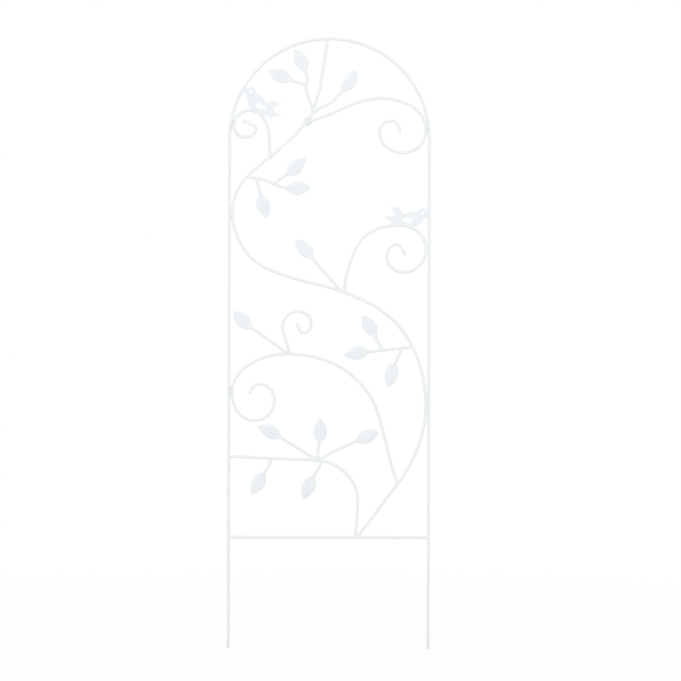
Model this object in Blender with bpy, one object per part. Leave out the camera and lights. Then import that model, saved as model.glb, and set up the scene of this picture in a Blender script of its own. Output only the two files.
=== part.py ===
# Garden trellis: a flat panel of bent and welded steel rod, an arched hoop filled with a winding
# stem, scrolls, leafy twigs and two small birds. Metres, X to the right, Z up, the front faces -Y.
# The origin is midway between the leg ends, at their lowest point.

import math

import bmesh
import bpy
import numpy as np
from mathutils import Vector
from mathutils.geometry import interpolate_bezier

# Overall size of the hoop
PANEL_HEIGHT = 1.500
PANEL_WIDTH = 0.498
CROSSBAR_HEIGHT = 0.2725

# Rod diameters
HOOP_ROD = 0.0072
CROSSBAR_ROD = 0.0072
STEM_ROD = 0.0072
SCROLL_ROD = 0.0072
TWIG_ROD = 0.0070

# Gap left between pieces that touch and are welded there
WELD_GAP = 0.0003

# Stamped sheet leaves
LEAF_LENGTH = 0.062
LEAF_WIDTH = 0.0328
LEAF_SHEET = 0.0015
LEAF_DOME = 0.0020
LEAF_NECK = 0.007
LEAF_TIP = 0.0012
LEAF_SWELL = 0.72
LEAF_TAPER = 0.93

# Flat-cut birds
BIRD_LENGTH = 0.0893
BIRD_SHEET = 0.002
BIRD_EYE = 0.0084
BIRD_TAIL_LIFT = 0.0015

# How finely the pieces are faceted
ROD_SIDES = 12
TWIG_SIDES = 8
BEND_PER_RING = math.radians(10)
SAG_PER_RING = 0.0002
LONGEST_STEP = 0.15
BEZIER_STEPS = 40
LEAF_STATIONS = 13
LEAF_COLUMNS = 5
BIRD_STEPS = 3
HEAD_CORNERS = 11
EYE_CORNERS = 12
SEAT_CORNERS = 13
SHARP_ANGLE = math.radians(40)

# How the ends of the rods and the stances of the birds are searched for
COPE_REACH = 0.070
COPE_STEPS = 281
COPE_BLEND = 1.6
COPE_RINGS = 3
COPE_FLANK = 0.9
SLIDE_STEPS = 401
LEAN_LIMIT = 60
LEAN_STEPS = 20

# Worked out from the sizes above
HOOP_RADIUS = (PANEL_WIDTH - HOOP_ROD) / 2
SPRING_HEIGHT = PANEL_HEIGHT - HOOP_ROD / 2 - HOOP_RADIUS
LEAF_WIDEST = LEAF_SWELL / (LEAF_SWELL + LEAF_TAPER)

# White stoved paint on every piece: colour, roughness, metallic
PAINTS = {
    "hoop_paint": ((0.856, 0.890, 0.910, 1.0), 0.38, 0.0),
    "stem_paint": ((0.852, 0.886, 0.906, 1.0), 0.38, 0.0),
    "leaf_paint": ((0.847, 0.883, 0.907, 1.0), 0.42, 0.0),
    "bird_paint": ((0.845, 0.881, 0.905, 1.0), 0.42, 0.0),
}


# The pattern is laid out inside the hoop. Across runs from -1 at the left leg's centre line to 1
# at the right leg's. Up runs from 0 at the crossbar to 1 at the arch's spring line, and from there
# to 2 at the crown.
def place(across, up):
    if up <= 1:
        z = CROSSBAR_HEIGHT + up * (SPRING_HEIGHT - CROSSBAR_HEIGHT)
    else:
        z = SPRING_HEIGHT + (up - 1) * HOOP_RADIUS
    return np.array([across * HOOP_RADIUS, z])


# A place that a rod passes, with its heading there in degrees: 0 is to the right and 90 is up
def knot(across, up, heading):
    return (*place(across, up), heading)


# A knot where a rod lies against the inside of the hoop: side is -1 for left and 1 for right
def against_hoop(side, up, heading, diameter):
    z = place(side, up)[1]
    reach = HOOP_RADIUS - (HOOP_ROD + diameter) / 2 - WELD_GAP
    lift = max(0.0, z - SPRING_HEIGHT)
    lean = math.degrees(math.asin(lift / reach))
    return side * math.sqrt(reach ** 2 - lift ** 2), z, heading + side * lean


def heading_vector(degrees):
    return np.array([math.cos(math.radians(degrees)), math.sin(math.radians(degrees))])


# The centre line of a bent rod in the panel's plane, kept as the rings of its faceted tube
class Route:
    def __init__(self, knots):
        points, headings = self.follow(knots)
        steps = np.diff(points, axis=0)
        lengths = np.hypot(steps[:, 0], steps[:, 1])
        turns = np.abs(np.diff(headings))
        needed = np.maximum.reduce([
            turns / BEND_PER_RING,
            np.sqrt(lengths * turns / (8 * SAG_PER_RING)),
            lengths / LONGEST_STEP,
        ])
        spent = np.concatenate([[0.0], np.cumsum(needed)])
        travelled = np.concatenate([[0.0], np.cumsum(lengths)])
        count = max(2, math.ceil(spent[-1]))
        self.marks = np.interp(np.linspace(0, spent[-1], count + 1), spent, travelled)
        self.x = np.interp(self.marks, travelled, points[:, 0])
        self.z = np.interp(self.marks, travelled, points[:, 1])
        self.heading = np.interp(self.marks, travelled, headings)

    # Each pair of knots is joined by a Bezier span whose handles give a true arc where the
    # turn is even, and the headings at the knots are kept
    def follow(self, knots):
        points = []
        for (x0, z0, h0), (x1, z1, h1) in zip(knots, knots[1:]):
            start, end = Vector((x0, z0)), Vector((x1, z1))
            handle = (end - start).length / (3 * math.cos(math.radians(h1 - h0) / 4) ** 2)
            leave = start + handle * Vector(heading_vector(h0))
            arrive = end - handle * Vector(heading_vector(h1))
            span = interpolate_bezier(start, leave, arrive, end, BEZIER_STEPS)
            points += [tuple(point) for point in span[:-1]]
        points = np.array(points + [knots[-1][:2]])
        steps = np.diff(points, axis=0)
        along = np.unwrap(np.arctan2(steps[:, 1], steps[:, 0]))
        first, last = math.radians(knots[0][2]), math.radians(knots[-1][2])
        along += 2 * math.pi * round((first - along[0]) / (2 * math.pi))
        return points, np.concatenate([[first], (along[1:] + along[:-1]) / 2, [last]])

    # The direction to the rod's left at lengths along it
    def left(self, marks):
        heading = np.interp(marks, self.marks, self.heading)
        return np.stack([-np.sin(heading), np.cos(heading)], axis=-1)

    # The places at lengths along the rod, set off to its left
    def line(self, marks, offset=0.0):
        axis = [np.interp(marks, self.marks, self.x), np.interp(marks, self.marks, self.z)]
        return np.stack(axis, axis=-1) + offset * self.left(marks)

    # For each of some places: the gap to the rod's axis, and the length along it where that lies
    def nearest(self, places):
        corners = np.stack([self.x, self.z], axis=-1)
        steps = np.diff(corners, axis=0)
        away = np.asarray(places)[:, None] - corners[:-1]
        share = np.clip((away * steps).sum(axis=2) / (steps ** 2).sum(axis=1), 0, 1)
        gaps = np.linalg.norm(away - share[:, :, None] * steps, axis=2)
        closest = gaps.argmin(axis=1)
        rows = np.arange(len(closest))
        marks = self.marks[closest] + share[rows, closest] * np.diff(self.marks)[closest]
        return gaps[rows, closest], marks

    # The place on the axis nearest to a point
    def foot(self, point):
        return self.line(self.nearest([point])[1])[0]


def clear_scene():
    for obj in list(bpy.data.objects):
        bpy.data.objects.remove(obj, do_unlink=True)


def make_paint(name):
    colour, roughness, metallic = PAINTS[name]
    material = bpy.data.materials.get(name)
    if material is None:
        material = bpy.data.materials.new(name)
        material.use_nodes = True
        shader = material.node_tree.nodes["Principled BSDF"]
        shader.inputs["Base Color"].default_value = colour
        shader.inputs["Roughness"].default_value = roughness
        shader.inputs["Metallic"].default_value = metallic
        material.diffuse_color = colour
    return material


def make_object(name, vertices, faces, paint=None):
    mesh = bpy.data.meshes.new(name)
    mesh.from_pydata(vertices, [], faces)
    work = bmesh.new()
    work.from_mesh(mesh)
    bmesh.ops.recalc_face_normals(work, faces=work.faces)
    work.to_mesh(mesh)
    work.free()
    mesh.shade_smooth()
    mesh.set_sharp_from_angle(angle=SHARP_ANGLE)
    obj = bpy.data.objects.new(name, mesh)
    if paint:
        mesh.materials.append(make_paint(paint))
    bpy.context.scene.collection.objects.link(obj)
    return obj


# The first length at which some measure stops being negative for good
def clear_length(lengths, room):
    blocked = np.flatnonzero(room < 0)
    if len(blocked) == 0:
        return lengths[0]
    last = blocked[-1]
    return np.interp(0, room[last:last + 2], lengths[last:last + 2])


# How much is cut from one end of a rod so that it stands off its carriers by the weld gap. Each
# answer is for a line that runs beside the rod's axis, off it to the left and in depth. A line that
# would pass over a carrier stops at the carrier's flank.
def end_cuts(route, lines, carriers, rods, from_start):
    lengths = np.linspace(0, min(COPE_REACH, route.marks[-1] / 2), COPE_STEPS)
    marks = lengths if from_start else route.marks[-1] - lengths
    cuts = []
    for offset, depth in lines:
        places = route.line(marks, offset)
        room = np.full(COPE_STEPS, np.inf)
        for name in carriers:
            reach = rods[name][1] / 2 + WELD_GAP
            gap = rods[name][0].nearest(places)[0]
            room = np.minimum(room, np.hypot(gap, min(abs(depth), COPE_FLANK * reach)) - reach)
        cuts.append(clear_length(lengths, room))
    return np.array(cuts)


# The faces between two closed loops of as many corners
def between_loops(a, b):
    return [[a[i - 1], a[i], b[i], b[i - 1]] for i in range(len(a))]


# A round rod along its route. Its ends are flat, or hollowed to lie against its carriers.
def make_rod(name, rods, carriers, paint):
    route, diameter, sides = rods[name]
    total = route.marks[-1]
    angles = 2 * math.pi * np.arange(sides) / sides
    rim = diameter / 2 * np.stack([np.cos(angles), np.sin(angles)], axis=-1)
    shares = np.arange(COPE_RINGS - 1, 0, -1) / COPE_RINGS
    cap = np.concatenate([rim * share for share in shares] + [[(0.0, 0.0)]])
    if carriers:
        first = end_cuts(route, [*rim, *cap], carriers, rods, True)
        final = end_cuts(route, [*rim, *cap], carriers, rods, False)
    else:
        first = final = np.zeros(len(rim) + len(cap))
    first_blend = max(COPE_BLEND * first.max(), WELD_GAP)
    final_blend = max(COPE_BLEND * final.max(), WELD_GAP)
    vertices = []
    for mark in route.marks:
        near_first = max(0.0, 1 - mark / first_blend)
        near_final = max(0.0, 1 - (total - mark) / final_blend)
        for (offset, depth), start, end in zip(rim, first, final):
            x, z = route.line(mark + start * near_first - end * near_final, offset)
            vertices.append((x, depth, z))
    loops = np.arange(len(vertices)).reshape(-1, sides).tolist()
    faces = sum((between_loops(a, b) for a, b in zip(loops, loops[1:])), [])
    for edge, marks in ((loops[0], first), (loops[-1], total - final)):
        if np.ptp(marks) == 0:
            faces.append(edge)
            continue
        inner = np.arange(len(vertices), len(vertices) + len(cap)).tolist()
        for (offset, depth), mark in zip(cap, marks[sides:]):
            x, z = route.line(mark, offset)
            vertices.append((x, depth, z))
        rings = [edge] + [inner[ring * sides:(ring + 1) * sides] for ring in range(COPE_RINGS - 1)]
        faces += sum((between_loops(a, b) for a, b in zip(rings, rings[1:])), [])
        faces += [[a, b, inner[-1]] for a, b in zip(rings[-1], rings[-1][1:] + rings[-1][:1])]
    return make_object(name, vertices, faces, paint)


# The hoop, the crossbar and the long bent rods. Each is listed with its paint, its diameter, its
# carriers, which are the rods that its ends are coped to, and its knots from end to end.
def long_rods():
    return {
        "frame_hoop": ("hoop_paint", HOOP_ROD, [], [
            (-HOOP_RADIUS, 0.0, 90),
            knot(-1, 1, 90),
            knot(0, 2, 0),
            knot(1, 1, -90),
            (HOOP_RADIUS, 0.0, -90),
        ]),
        "lower_crossbar": ("hoop_paint", CROSSBAR_ROD, ["frame_hoop"], [
            knot(-1, 0, 0),
            knot(1, 0, 0),
        ]),
        "main_stem": ("stem_paint", STEM_ROD, ["lower_crossbar", "frame_hoop"], [
            knot(0.284, 0, 51),
            knot(0.641, 0.118, 51),
            against_hoop(1, 0.331, 90, STEM_ROD),
            knot(0.828, 0.483, 118),
            knot(0.587, 0.558, 140),
            knot(0.154, 0.615, 158),
            knot(-0.254, 0.643, 165),
            knot(-0.651, 0.678, 154),
            knot(-0.847, 0.721, 124),
            against_hoop(-1, 0.811, 90, STEM_ROD),
            knot(-0.857, 0.896, 51),
            knot(-0.596, 0.954, 38.5),
            knot(-0.295, 1.097, 46),
            knot(-0.132, 1.387, 70.5),
            knot(-0.068, 1.686, 81),
            knot(-0.024, 2, 84),
        ]),
        "bottom_stem": ("stem_paint", STEM_ROD, ["lower_crossbar", "main_stem", "frame_hoop"], [
            knot(0.268, 0, 86),
            knot(0.293, 0.093, 90),
            knot(0.196, 0.155, 133),
            knot(0.021, 0.186, 158),
            knot(-0.104, 0.193, 175),
            knot(-0.478, 0.197, 177),
            knot(-1, 0.203, 177),
        ]),
        "upper_right_scroll": ("stem_paint", SCROLL_ROD, ["main_stem"], [
            knot(-0.231, 1.162, 20),
            knot(0.055, 1.269, 26),
            knot(0.509, 1.407, 1),
            knot(0.812, 1.334, -29),
            against_hoop(1, 1.117, -90, SCROLL_ROD),
            knot(0.734, 0.965, -180),
            knot(0.499, 1.072, -270),
            knot(0.620, 1.181, -360),
            knot(0.706, 1.058, -445),
        ]),
        "upper_left_scroll": ("stem_paint", SCROLL_ROD, ["main_stem"], [
            knot(-0.599, 0.953, 92),
            knot(-0.604, 1.037, 95),
            knot(-0.801, 1.283, 180),
            against_hoop(-1, 1.142, 270, SCROLL_ROD),
            knot(-0.841, 1.013, 360),
            knot(-0.737, 1.097, 450),
            knot(-0.801, 1.151, 512),
            knot(-0.866, 1.179, 518),
        ]),
        "mid_right_scroll": ("stem_paint", SCROLL_ROD, ["main_stem"], [
            knot(0.153, 0.616, 88),
            knot(0.207, 0.688, 71),
            knot(0.311, 0.743, 53),
            knot(0.700, 0.784, 0),
            against_hoop(1, 0.724, -90, SCROLL_ROD),
            knot(0.747, 0.666, -180),
            knot(0.575, 0.705, -270),
            knot(0.669, 0.735, -360),
            knot(0.758, 0.709, -430),
        ]),
        "lower_arch_scroll": ("stem_paint", SCROLL_ROD, ["main_stem"], [
            knot(0.691, 0.135, 110),
            knot(0.592, 0.218, 103.5),
            knot(0.482, 0.319, 108),
            knot(0.212, 0.410, 140),
            knot(-0.380, 0.460, 178),
            knot(-0.775, 0.437, 211),
            against_hoop(-1, 0.364, 270, SCROLL_ROD),
            knot(-0.746, 0.293, 360),
            knot(-0.543, 0.344, 450),
            knot(-0.698, 0.384, 540),
            knot(-0.785, 0.359, 625),
        ]),
        "small_scroll": ("stem_paint", SCROLL_ROD, ["lower_arch_scroll"], [
            knot(-0.390, 0.461, 107),
            knot(-0.440, 0.500, 108),
            knot(-0.463, 0.530, 90),
            knot(-0.316, 0.567, 0),
            knot(-0.179, 0.536, -90),
            knot(-0.252, 0.513, -180),
            knot(-0.319, 0.538, -260),
        ]),
    }


# The twigs and their leaves. Each is listed with the rods that its foot is coped to, of which the
# first holds it, its foot and its first heading, its bends, and its leaf: the place of the leaf's
# tip, the leaf's heading at the neck, and how far its midrib turns from there to the tip.
TWIGS = {
    "crown_left": (["main_stem"], (-0.168, 1.303, 112),
                   [(-0.233, 1.503, 93), (-0.225, 1.581, 86)], (-0.355, 1.899, 109, 14)),
    "crown_side": (["crown_left_twig"], (-0.226, 1.537, 163), [], (-0.618, 1.680, 158, 0)),
    "crown_right": (["main_stem", "upper_right_scroll"], (-0.208, 1.190, 46),
                    [(-0.100, 1.306, 38), (-0.020, 1.343, 24), (0.041, 1.387, 43)], (0.266, 1.691, 49, 15)),
    "shoulder_middle": (["main_stem"], (-0.824, 0.9035, -8),
                        [(-0.649, 0.8965, -14), (-0.564, 0.8865, -25)], (-0.183, 0.878, -6, 13)),
    "shoulder_upper": (["shoulder_middle_twig"], (-0.557, 0.888, 42), [], (-0.240, 0.952, 36, 10)),
    "shoulder_lower": (["shoulder_middle_twig"], (-0.731, 0.902, -75), [], (-0.621, 0.800, -75, 2)),
    "waist": (["main_stem", "mid_right_scroll"], (0.132, 0.617, 135), [], (-0.341, 0.747, 129, 8)),
    "arch": (["lower_arch_scroll", "small_scroll"], (-0.410, 0.460, 143), [], (-0.954, 0.567, 146, -16)),
    "hip_middle": (["main_stem"], (0.837, 0.479, 184), [(0.549, 0.470, 186)], (0.149, 0.456, 184, 10)),
    "hip_upper": (["hip_middle_twig"], (0.536, 0.470, 113), [], (0.328, 0.557, 115, 14)),
    "hip_lower": (["hip_middle_twig"], (0.722, 0.476, -95), [], (0.600, 0.376, -113, 16)),
    "base_upper": (["bottom_stem"], (-0.111, 0.193, 90), [], (-0.087, 0.300, 80, 15)),
    "base_left": (["bottom_stem", "base_upper_twig"], (-0.104, 0.193, 149), [], (-0.705, 0.279, 149, 7)),
    "base_right": (["bottom_stem", "base_upper_twig"], (-0.104, 0.193, 30),
                   [(0.051, 0.216, 25)], (0.505, 0.266, 24, -2)),
    "base_lower": (["bottom_stem"], (-0.081, 0.192, -85), [], (-0.251, 0.095, -118, 8)),
    "base_outer": (["bottom_stem"], (-0.575, 0.198, -90), [], (-0.767, 0.107, -121, 3)),
}


# The leaf's midrib from its neck to its tip, as offsets from the neck with the heading there
def leaf_midrib(heading, sweep):
    spot = np.zeros(2)
    midrib = [(spot, heading)]
    for station in range(1, LEAF_STATIONS):
        way = heading + sweep * station / (LEAF_STATIONS - 1)
        spot = spot + LEAF_LENGTH / (LEAF_STATIONS - 1) * heading_vector(way)
        midrib.append((spot, way))
    return midrib


# Half the leaf's width, a share of the way along it: quickly full from the neck, then drawn to a point
def leaf_half_width(along):
    fullest = LEAF_WIDEST ** LEAF_SWELL * (1 - LEAF_WIDEST) ** LEAF_TAPER
    half = LEAF_WIDTH / 2 * along ** LEAF_SWELL * (1 - along) ** LEAF_TAPER / fullest
    return max(half, LEAF_TIP / 2, (1 - 4 * along) * LEAF_NECK / 2)


# A stamped leaf on its midrib, its middle domed forwards
def make_leaf(name, neck, midrib):
    rows = []
    for station, (offset, way) in enumerate(midrib):
        along = station / (LEAF_STATIONS - 1)
        half = leaf_half_width(along)
        x, z = neck + offset
        to_left = heading_vector(way + 90)
        row = []
        for column in range(LEAF_COLUMNS):
            side = 2 * column / (LEAF_COLUMNS - 1) - 1
            dome = LEAF_DOME * (1 - side ** 2) * math.sin(math.pi * along)
            row.append((x + half * side * to_left[0], -dome, z + half * side * to_left[1]))
        rows += row
    front = [(x, y - LEAF_SHEET / 2, z) for x, y, z in rows]
    back = [(x, y + LEAF_SHEET / 2, z) for x, y, z in rows]
    count = len(rows)
    faces = []
    for station in range(LEAF_STATIONS - 1):
        for column in range(LEAF_COLUMNS - 1):
            a = station * LEAF_COLUMNS + column
            quad = [a, a + 1, a + 1 + LEAF_COLUMNS, a + LEAF_COLUMNS]
            faces.append(quad)
            faces.append([corner + count for corner in reversed(quad)])
    faces += between_loops(leaf_rim(), [corner + count for corner in leaf_rim()])
    return make_object(name, front + back, faces, "leaf_paint")


# The corners round the edge of the leaf's grid, in order
def leaf_rim():
    last = LEAF_STATIONS - 1
    right = [station * LEAF_COLUMNS for station in range(LEAF_STATIONS)]
    tip = [last * LEAF_COLUMNS + column for column in range(1, LEAF_COLUMNS)]
    left = [station * LEAF_COLUMNS + LEAF_COLUMNS - 1 for station in range(last - 1, -1, -1)]
    neck = [column for column in range(LEAF_COLUMNS - 2, 0, -1)]
    return right + tip + left + neck


# A flat plate in the panel's plane, cut to an outline with holes
def make_plate(name, loops, thickness, paint):
    work = bmesh.new()
    rims = []
    for loop in loops:
        corners = [work.verts.new((x, 0, z)) for x, z in loop]
        for a, b in zip(corners, corners[1:] + corners[:1]):
            work.edges.new((a, b))
        rims.append(corners)
    bmesh.ops.triangle_fill(work, use_beauty=True, use_dissolve=False, edges=work.edges, normal=(0, -1, 0))
    work.verts.index_update()
    flat = [tuple(vertex.co) for vertex in work.verts]
    fill = [[vertex.index for vertex in face.verts] for face in work.faces]
    rims = [[vertex.index for vertex in rim] for rim in rims]
    work.free()
    count = len(flat)
    front = [(x, -thickness / 2, z) for x, y, z in flat]
    back = [(x, thickness / 2, z) for x, y, z in flat]
    faces = fill + [[corner + count for corner in reversed(face)] for face in fill]
    for rim in rims:
        faces += between_loops(rim, [corner + count for corner in rim])
    return make_object(name, front + back, faces, paint)


# Points along a smooth curve through a few places, without the last. Two places give one edge.
def smooth(places):
    steps = BIRD_STEPS if len(places) > 2 else 1
    ends = [places[0]] + places + [places[-1]]
    curve = []
    for p0, p1, p2, p3 in zip(ends, ends[1:], ends[2:], ends[3:]):
        for step in range(steps):
            t = step / steps
            weights = ((-t + 2 * t ** 2 - t ** 3) / 2, (2 - 5 * t ** 2 + 3 * t ** 3) / 2,
                       (t + 4 * t ** 2 - 3 * t ** 3) / 2, (t ** 3 - t ** 2) / 2)
            curve.append(tuple(sum(w * p[i] for w, p in zip(weights, (p0, p1, p2, p3))) for i in range(2)))
    return curve


def arc(centre, radius, first, last, corners):
    angles = np.linspace(first, last, corners)
    return [tuple(np.array(centre) + radius * heading_vector(angle)) for angle in angles]


# The bird's outline, looking left, in shares of its length from the spot where its foot stands
BIRD_HEAD = (-0.028, 0.522)
BIRD_HEAD_RADIUS = 0.1333
BIRD_CROWN_ARC = (135, -10)
BIRD_BACK = [
    [(0.113, 0.487), (0.138, 0.456), (0.193, 0.421), (0.253, 0.396), (0.308, 0.338), (0.337, 0.287),
     (0.353, 0.233)],
    [(0.353, 0.233), (0.432, 0.213), (0.503, 0.233), (0.564, 0.272), (0.621, 0.296), (0.672, 0.297)],
    [(0.672, 0.297), (0.655, 0.255), (0.630, 0.215)],
    [(0.630, 0.215), (0.701, 0.217), (0.792, 0.215)],
    [(0.792, 0.215), (0.792, 0.176)],
    [(0.792, 0.176), (0.723, 0.151), (0.654, 0.105), (0.594, 0.058), (0.572, 0.028)],
    [(0.572, 0.028), (0.610, -0.008), (0.674, -0.058), (0.729, -0.083), (0.789, -0.091)],
    [(0.789, -0.091), (0.789, -0.138)],
    [(0.789, -0.138), (0.701, -0.151), (0.632, -0.149), (0.566, -0.143)],
    [(0.566, -0.143), (0.566, -0.207)],
]
BIRD_TAIL_CORNER = (0.566, -0.207)
BIRD_HEEL = 0.338
BIRD_TOE = 0.038

# The long lowest feather of a tail that stands clear of the scroll, in shares of the bird's length
# behind the foot along the scroll, and off the scroll's surface
BIRD_UNDERTAIL = [(0.570, 0.110), (0.489, 0.112), (0.413, 0.077), (0.352, 0.018)]

BIRD_BREAST = [(-0.045, 0.085), (-0.090, 0.160), (-0.124, 0.243), (-0.144, 0.340), (-0.152, 0.405)]
BIRD_OPENING = [(0.135, 0.242), (0.193, 0.220), (0.239, 0.182), (0.303, 0.151), (0.357, 0.121),
                (0.382, 0.088), (0.341, 0.052), (0.242, 0.050), (0.171, 0.069), (0.127, 0.083),
                (0.105, 0.143)]

# The birds: the scroll that each stands on and about where, the tip of its beak, which way it faces
# (-1 is left and 1 is right), how low it sits on the scroll's centre line, and whether its tail
# rests on the scroll
BIRDS = {
    "left_bird": ("upper_left_scroll", (-0.790, 1.284), (-0.247, 0.594), -1, 0.0, False),
    "right_bird": ("mid_right_scroll", (0.821, 0.778), (-0.204, 0.572), 1, 0.0015, True),
}


# A bird on its scroll, leaning forwards, where the tip of its beak comes nearest to the hoop
class Stance:
    def __init__(self, perch, hoop, near, beak, facing, sink, lean):
        self.perch, self.facing = perch, facing
        self.tilt = math.radians(-facing * lean)
        self.down = np.array([0.0, -sink])
        centre = perch.nearest([place(*near)])[1][0]
        slide = np.linspace(centre - BIRD_LENGTH / 2, centre + BIRD_LENGTH / 2, SLIDE_STEPS)
        beaks = perch.line(slide) + self.turned(beak)
        self.mark = slide[hoop.nearest(beaks)[0].argmin()]

    # A share of the bird's length as an offset from the spot on the scroll's axis under its foot
    def turned(self, share):
        x, z = -self.facing * share[0] * BIRD_LENGTH, share[1] * BIRD_LENGTH
        cos, sin = math.cos(self.tilt), math.sin(self.tilt)
        return np.array([x * cos - z * sin, x * sin + z * cos]) + self.down

    def on_panel(self, share):
        return self.perch.line(self.mark) + self.turned(share)

    # The lower corner of the tail: its distance outwards from the scroll's axis, and where along it
    def tail_corner(self):
        corner = self.on_panel(BIRD_TAIL_CORNER)
        mark = self.perch.nearest([corner])[1][0]
        return self.facing * np.dot(corner - self.perch.line(mark), self.perch.left(mark)), mark


# How a bird stands. One whose tail rests on the scroll leans until the tail's corner meets it.
def stand_bird(perch, hoop, stand_off, near, beak, facing, sink, tail_rests):
    if not tail_rests:
        return Stance(perch, hoop, near, beak, facing, sink, 0)
    low, high = 0, LEAN_LIMIT
    for step in range(LEAN_STEPS):
        lean = (low + high) / 2
        stance = Stance(perch, hoop, near, beak, facing, sink, lean)
        if stance.tail_corner()[0] < stand_off + BIRD_TAIL_LIFT:
            low = lean
        else:
            high = lean
    return stance


# Where an edge of the beak, from a place on the head to the tip, meets the hoop
def beak_end(inner, tip, hoop, hoop_diameter):
    shares = np.linspace(1, 0, SLIDE_STEPS)
    places = inner + shares[:, None] * (tip - inner)
    share = clear_length(shares, hoop.nearest(places)[0] - hoop_diameter / 2 - WELD_GAP)
    return inner + share * (tip - inner)


# A bird cut from sheet. Its seat follows the scroll's surface, and its beak ends at the hoop.
def make_bird(name, rods, scroll, near, beak, facing, sink, tail_rests):
    (perch, perch_diameter, _), (hoop, hoop_diameter, _) = rods[scroll], rods["frame_hoop"]
    stand_off = perch_diameter / 2 + WELD_GAP
    stance = stand_bird(perch, hoop, stand_off, near, beak, facing, sink, tail_rests)
    crown = arc(BIRD_HEAD, BIRD_HEAD_RADIUS, *BIRD_CROWN_ARC, HEAD_CORNERS)
    back = sum((smooth(stretch) for stretch in BIRD_BACK), []) + BIRD_BACK[-1][-1:]
    breast = smooth(BIRD_BREAST) + BIRD_BREAST[-1:]
    crown, back, breast = [[stance.on_panel(share) for share in run] for run in (crown, back, breast)]
    if tail_rests:
        heel = stance.tail_corner()[1]
    else:
        heel = stance.mark - BIRD_HEEL * BIRD_LENGTH
        for along, off in smooth(BIRD_UNDERTAIL) + BIRD_UNDERTAIL[-1:]:
            lift = facing * (stand_off + off * BIRD_LENGTH)
            back.append(perch.line(stance.mark - along * BIRD_LENGTH, lift))
    stand = np.linspace(heel, stance.mark + BIRD_TOE * BIRD_LENGTH, SEAT_CORNERS)
    seat = list(perch.line(stand, facing * stand_off))
    tip = stance.on_panel(beak)
    bill = [beak_end(inner, tip, hoop, hoop_diameter) for inner in (breast[-1], crown[0])]
    eye = arc(stance.on_panel(BIRD_HEAD), BIRD_EYE / 2, 0, 360, EYE_CORNERS + 1)[:-1]
    opening = [stance.on_panel(share) for share in smooth(BIRD_OPENING + BIRD_OPENING[:1])]
    return make_plate(name, [bill + crown + back + seat + breast, eye, opening], BIRD_SHEET, "bird_paint")


def build():
    clear_scene()
    rods = {}
    for name, (paint, diameter, carriers, knots) in long_rods().items():
        rods[name] = Route(knots), diameter, ROD_SIDES
        make_rod(name, rods, carriers, paint)
    for name, (carriers, (*start, heading), bends, (*tip, leaf_heading, sweep)) in TWIGS.items():
        midrib = leaf_midrib(leaf_heading, sweep)
        neck = place(*tip) - midrib[-1][0]
        foot = rods[carriers[0]][0].foot(place(*start))
        end = neck - WELD_GAP * heading_vector(leaf_heading)
        knots = [(*foot, heading)] + [knot(*bend) for bend in bends] + [(*end, leaf_heading)]
        rods[name + "_twig"] = Route(knots), TWIG_ROD, TWIG_SIDES
        make_rod(name + "_twig", rods, carriers, "stem_paint")
        make_leaf(name + "_leaf", neck, midrib)
    for name, stance in BIRDS.items():
        make_bird(name, rods, *stance)


build()
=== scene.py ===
# Garden trellis in white stoved paint: bent and welded steel rod, stamped leaves and flat-cut birds.
# Metres, X to the right, Z up, the front faces -Y.
import math
import random

import bmesh
import bpy
import numpy as np
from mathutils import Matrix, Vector
from mathutils.geometry import interpolate_bezier


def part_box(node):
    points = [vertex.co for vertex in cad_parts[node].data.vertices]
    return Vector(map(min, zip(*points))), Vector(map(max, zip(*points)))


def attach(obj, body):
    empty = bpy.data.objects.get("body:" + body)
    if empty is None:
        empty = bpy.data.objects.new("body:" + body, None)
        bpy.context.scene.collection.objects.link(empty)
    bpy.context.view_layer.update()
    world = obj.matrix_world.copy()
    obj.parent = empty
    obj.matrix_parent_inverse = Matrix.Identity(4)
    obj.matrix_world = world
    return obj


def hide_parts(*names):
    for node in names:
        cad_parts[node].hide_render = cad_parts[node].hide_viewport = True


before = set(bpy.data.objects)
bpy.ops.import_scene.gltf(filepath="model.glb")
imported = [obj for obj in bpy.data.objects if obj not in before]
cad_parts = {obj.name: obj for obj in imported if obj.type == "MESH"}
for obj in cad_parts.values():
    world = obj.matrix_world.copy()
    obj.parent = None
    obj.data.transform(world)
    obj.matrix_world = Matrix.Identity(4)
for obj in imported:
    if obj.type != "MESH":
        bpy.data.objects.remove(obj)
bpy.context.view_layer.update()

random.seed(7)

# the panel's own sizes, read from the frame
hoopLow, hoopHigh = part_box("frame_hoop")
barLow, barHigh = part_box("lower_crossbar")
hoopRod = hoopHigh.y - hoopLow.y
hoopRadius = (hoopHigh.x - hoopLow.x - hoopRod) / 2
springHeight = hoopHigh.z - hoopRod / 2 - hoopRadius
crossbarHeight = (barLow.z + barHigh.z) / 2
deepest = hoopRod / 2 - 0.00003  # nothing stands further forwards or back than this


# a level rod's or a flat twig's own thickness is the depth of its box
def thickness(node):
    low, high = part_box(node)
    return high.y - low.y


rodSizes = {"hoop": hoopRod, "bar": thickness("lower_crossbar"), "stem": thickness("main_stem"),
            "twig": thickness("waist_twig")}
touching = 0.0003  # rods laid side by side keep this much between them

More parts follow.
